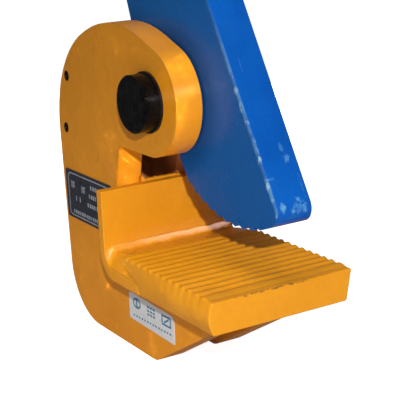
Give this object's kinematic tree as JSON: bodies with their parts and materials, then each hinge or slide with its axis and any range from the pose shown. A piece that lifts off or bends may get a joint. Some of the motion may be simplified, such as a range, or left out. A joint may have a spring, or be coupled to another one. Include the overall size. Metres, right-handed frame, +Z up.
{
  "type": "plate lifting clamp",
  "caption": "Lifting clamp for steel plate held flat: C-shaped frame with a toothed jaw pad and a pivoting toothed cam lever that ends in a shackle eye.",
  "frame": {"origin": "on the floor, under the middle of the bounding box at rest", "axes": "+X towards the open mouth of the jaw, +Y along the pivot pin towards the plain side plate, +Z up; the face with the rating plate looks to -Y"},
  "size_m": [0.2118, 0.0908, 0.2699],
  "materials": {
    "yellow_paint": "gloss",
    "blue_paint": "gloss",
    "black_steel": "semi-gloss black oxide",
    "spring_steel": "phosphated",
    "bearing_bronze": "satin",
    "nameplate_metal": "anodised",
    "label_film": "gloss film"
  },
  "bodies": {
    "frame": {"side_plate_left": "yellow_paint", "side_plate_right": "yellow_paint", "spine_spacer": "yellow_paint", "jaw_bracket": "yellow_paint", "toothed_jaw_pad": "yellow_paint", "weld_pad_rear": "yellow_paint", "weld_seat_left": "yellow_paint", "weld_seat_right": "yellow_paint", "weld_bracket_left": "yellow_paint", "weld_bracket_right": "yellow_paint", "weld_bracket_top": "yellow_paint", "weld_spine_left": "yellow_paint", "weld_spine_right": "yellow_paint", "pivot_pin": "black_steel", "pin_circlips": "spring_steel", "spine_pins": "spring_steel", "thrust_washer_left": "bearing_bronze", "thrust_washer_right": "bearing_bronze", "nameplate": "nameplate_metal", "inspection_label": "label_film"},
    "cam": {"cam_lever": "blue_paint", "cam_bush": "bearing_bronze"}
  },
  "joints": [
    {"name": "cam_pivot", "type": "hinge", "parent": "frame", "child": "cam", "pos_m": [0.0112, 0, 0.1529], "axis": [0, 1, 0], "range_deg": [-22, 24.5]}
  ]
}
